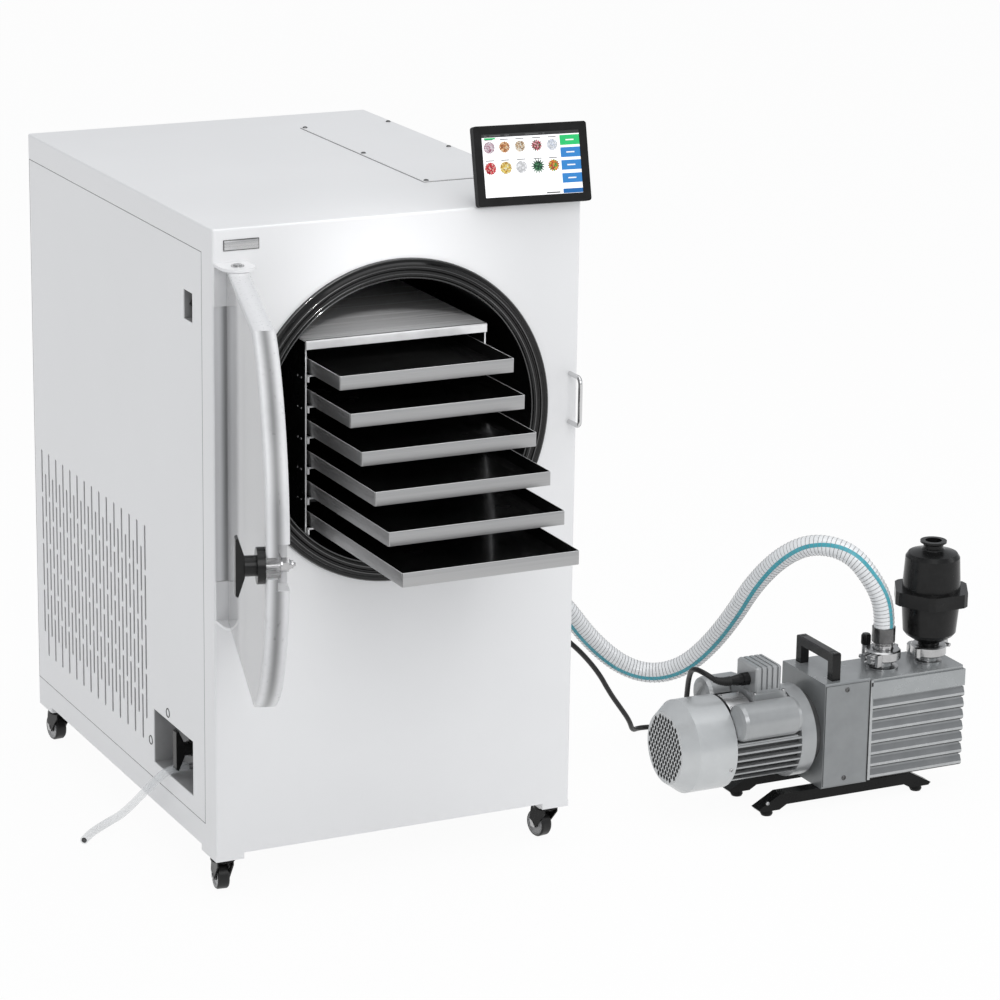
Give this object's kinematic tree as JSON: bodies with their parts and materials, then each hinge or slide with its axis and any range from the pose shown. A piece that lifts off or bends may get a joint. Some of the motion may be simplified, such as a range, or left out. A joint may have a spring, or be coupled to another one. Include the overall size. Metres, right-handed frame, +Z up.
{
  "type": "freeze dryer",
  "caption": "Cabinet freeze dryer on castors with a round vacuum chamber, sliding trays, a clear hinged door, a touch screen and a hose-connected vacuum pump.",
  "frame": {"origin": "centre of the whole object's footprint on the floor, measured without the hose, the cord and the drain tube", "axes": "+X along the cabinet's front from its left side towards the pump, +Y from the front to the back, +Z up"},
  "size_m": [1.3904, 1.2536, 1.0653],
  "materials": {
    "base_frame": "grey primer",
    "cabinet_shell": "satin white powder coat",
    "capacitor_covers": "grey paint",
    "castor_fork_1": "zinc plated",
    "castor_fork_2": "zinc plated",
    "castor_fork_3": "zinc plated",
    "castor_fork_4": "zinc plated",
    "castor_mounts": "white block, zinc plate",
    "castor_wheel_1": "black",
    "castor_wheel_2": "black",
    "castor_wheel_3": "black",
    "castor_wheel_4": "black",
    "chamber_drum": "stainless",
    "compressor": "gloss black",
    "condenser": "bare fins",
    "condenser_fan": "black",
    "control_box": "galvanised",
    "cord_glands": "black nylon",
    "coupling_housing": "grey paint",
    "door_gasket": "black rubber",
    "door_keeper": "stainless wire",
    "door_knob": "black knob, steel stud",
    "door_slab": "clear acrylic",
    "drain_knob": "matt black",
    "drain_tube": "clear",
    "drain_valve": "turned steel",
    "fan_cover": "grey paint",
    "gas_ballast_knob": "black",
    "heated_shelves": "black",
    "hinge_brackets": "white, steel pin",
    "insulation_jacket": "black foam",
    "latch_bush": "white nylon",
    "left_side_panel": "satin white powder coat",
    "mist_filter": "black moulding",
    "motor_fan": "black",
    "motor_housing": "grey hammer paint",
    "oil_box": "grey paint",
    "power_cord": "black",
    "power_rocker": "gloss black",
    "pump_handle": "black",
    "pump_skids": "black steel, rubber feet",
    "rack_frame": "black plates",
    "rack_top_plate": "polished stainless",
    "rear_panel": "satin white powder coat",
    "refrigerant_lines": "copper",
    "right_side_panel": "satin white powder coat",
    "screen_glass": "lit display",
    "screen_housing": "dark grey",
    "side_pockets": "dark grey powder coat",
    "terminal_box": "grey paint",
    "top_cover": "satin white powder coat",
    "tray_1": "brushed stainless, black inside",
    "tray_2": "brushed stainless, black inside",
    "tray_3": "brushed stainless, black inside",
    "tray_4": "brushed stainless, black inside",
    "tray_5": "brushed stainless, black inside",
    "tray_6": "brushed stainless, black inside",
    "vacuum_fittings": "polished steel",
    "vacuum_hose": "clear with wire spiral",
    "vacuum_pipe": "stainless"
  },
  "bodies": {
    "cabinet": {"base_frame": "base_frame", "cabinet_shell": "cabinet_shell", "capacitor_covers": "capacitor_covers", "castor_mounts": "castor_mounts", "chamber_drum": "chamber_drum", "compressor": "compressor", "condenser": "condenser", "control_box": "control_box", "cord_glands": "cord_glands", "coupling_housing": "coupling_housing", "door_gasket": "door_gasket", "door_keeper": "door_keeper", "drain_tube": "drain_tube", "drain_valve": "drain_valve", "fan_cover": "fan_cover", "heated_shelves": "heated_shelves", "hinge_brackets": "hinge_brackets", "insulation_jacket": "insulation_jacket", "left_side_panel": "left_side_panel", "mist_filter": "mist_filter", "motor_housing": "motor_housing", "oil_box": "oil_box", "power_cord": "power_cord", "pump_handle": "pump_handle", "pump_skids": "pump_skids", "rack_frame": "rack_frame", "rack_top_plate": "rack_top_plate", "rear_panel": "rear_panel", "refrigerant_lines": "refrigerant_lines", "right_side_panel": "right_side_panel", "screen_glass": "screen_glass", "screen_housing": "screen_housing", "side_pockets": "side_pockets", "terminal_box": "terminal_box", "top_cover": "top_cover", "vacuum_fittings": "vacuum_fittings", "vacuum_hose": "vacuum_hose", "vacuum_pipe": "vacuum_pipe"},
    "door": {"door_slab": "door_slab", "latch_bush": "latch_bush"},
    "knob": {"door_knob": "door_knob"},
    "drain_handle": {"drain_knob": "drain_knob"},
    "rocker": {"power_rocker": "power_rocker"},
    "condenser_rotor": {"condenser_fan": "condenser_fan"},
    "motor_rotor": {"motor_fan": "motor_fan"},
    "ballast": {"gas_ballast_knob": "gas_ballast_knob"},
    "tray_slide_1": {"tray_1": "tray_1"},
    "tray_slide_2": {"tray_2": "tray_2"},
    "tray_slide_3": {"tray_3": "tray_3"},
    "tray_slide_4": {"tray_4": "tray_4"},
    "tray_slide_5": {"tray_5": "tray_5"},
    "tray_slide_6": {"tray_6": "tray_6"},
    "swivel_1": {"castor_fork_1": "castor_fork_1"},
    "wheel_1": {"castor_wheel_1": "castor_wheel_1"},
    "swivel_2": {"castor_fork_2": "castor_fork_2"},
    "wheel_2": {"castor_wheel_2": "castor_wheel_2"},
    "swivel_3": {"castor_fork_3": "castor_fork_3"},
    "wheel_3": {"castor_wheel_3": "castor_wheel_3"},
    "swivel_4": {"castor_fork_4": "castor_fork_4"},
    "wheel_4": {"castor_wheel_4": "castor_wheel_4"}
  },
  "joints": [
    {"name": "door_hinge", "type": "hinge", "parent": "cabinet", "child": "door", "pos_m": [-0.50214, -0.13963, 0.6593], "axis": [0, 0, 1], "range_deg": [0, 106.8]},
    {"name": "door_knob_turn", "type": "hinge", "parent": "door", "child": "knob", "pos_m": [-0.64377, -0.60872, 0.6473], "axis": [-0.9573, 0.289, 0], "range_deg": [-90, 90]},
    {"name": "tray_1_slide", "type": "slide", "parent": "cabinet", "child": "tray_slide_1", "axis": [0, 1, 0], "range_m": [0, 0.1244]},
    {"name": "tray_2_slide", "type": "slide", "parent": "cabinet", "child": "tray_slide_2", "axis": [0, 1, 0], "range_m": [0, 0.1594]},
    {"name": "tray_3_slide", "type": "slide", "parent": "cabinet", "child": "tray_slide_3", "axis": [0, 1, 0], "range_m": [0, 0.1963]},
    {"name": "tray_4_slide", "type": "slide", "parent": "cabinet", "child": "tray_slide_4", "axis": [0, 1, 0], "range_m": [0, 0.2405]},
    {"name": "tray_5_slide", "type": "slide", "parent": "cabinet", "child": "tray_slide_5", "axis": [0, 1, 0], "range_m": [0, 0.284]},
    {"name": "tray_6_slide", "type": "slide", "parent": "cabinet", "child": "tray_slide_6", "axis": [0, 1, 0], "range_m": [0, 0.3286]},
    {"name": "drain_knob_turn", "type": "hinge", "parent": "cabinet", "child": "drain_handle", "pos_m": [-0.51114, 0.04737, 0.17], "axis": [-1, 0, 0], "range_deg": [0, 90]},
    {"name": "power_rocker_tilt", "type": "hinge", "parent": "cabinet", "child": "rocker", "pos_m": [-0.50414, -0.02663, 0.833], "axis": [0, 1, 0], "range_deg": [0, 12]},
    {"name": "condenser_fan_spin", "type": "hinge", "parent": "cabinet", "child": "condenser_rotor", "pos_m": [-0.13714, 0.53737, 0.17], "axis": [0, 1, 0], "continuous": true},
    {"name": "motor_fan_spin", "type": "hinge", "parent": "cabinet", "child": "motor_rotor", "pos_m": [0.23486, -0.08763, 0.112], "axis": [1, 0, 0], "continuous": true},
    {"name": "gas_ballast_turn", "type": "hinge", "parent": "cabinet", "child": "ballast", "pos_m": [0.54886, -0.06613, 0.228], "axis": [0, 0, 1], "range_deg": [0, 180]},
    {"name": "castor_1_swivel", "type": "hinge", "parent": "cabinet", "child": "swivel_1", "pos_m": [-0.50514, -0.08263, 0.04], "axis": [0, 0, 1], "continuous": true},
    {"name": "castor_1_roll", "type": "hinge", "parent": "swivel_1", "child": "wheel_1", "pos_m": [-0.50344, -0.06873, 0.02], "axis": [-0.9925, 0.1219, 0], "continuous": true},
    {"name": "castor_2_swivel", "type": "hinge", "parent": "cabinet", "child": "swivel_2", "pos_m": [0.00086, -0.08263, 0.04], "axis": [0, 0, 1], "continuous": true},
    {"name": "castor_2_roll", "type": "hinge", "parent": "swivel_2", "child": "wheel_2", "pos_m": [-0.00158, -0.06884, 0.02], "axis": [-0.9848, -0.1736, 0], "continuous": true},
    {"name": "castor_3_swivel", "type": "hinge", "parent": "cabinet", "child": "swivel_3", "pos_m": [-0.50514, 0.59237, 0.04], "axis": [0, 0, 1], "continuous": true},
    {"name": "castor_3_roll", "type": "hinge", "parent": "swivel_3", "child": "wheel_3", "pos_m": [-0.50636, 0.60632, 0.02], "axis": [-0.9962, -0.0872, 0], "continuous": true},
    {"name": "castor_4_swivel", "type": "hinge", "parent": "cabinet", "child": "swivel_4", "pos_m": [0.00086, 0.59237, 0.04], "axis": [0, 0, 1], "continuous": true},
    {"name": "castor_4_roll", "type": "hinge", "parent": "swivel_4", "child": "wheel_4", "pos_m": [0.00786, 0.60449, 0.02], "axis": [-0.866, 0.5, 0], "continuous": true}
  ],
  "couplings": [
    {"joint": "tray_1_slide", "follows": "door_hinge", "m_per_rad": 0.066737},
    {"joint": "tray_2_slide", "follows": "door_hinge", "m_per_rad": 0.085514},
    {"joint": "tray_3_slide", "follows": "door_hinge", "m_per_rad": 0.10531},
    {"joint": "tray_4_slide", "follows": "door_hinge", "m_per_rad": 0.12902},
    {"joint": "tray_5_slide", "follows": "door_hinge", "m_per_rad": 0.15236},
    {"joint": "tray_6_slide", "follows": "door_hinge", "m_per_rad": 0.17629}
  ]
}
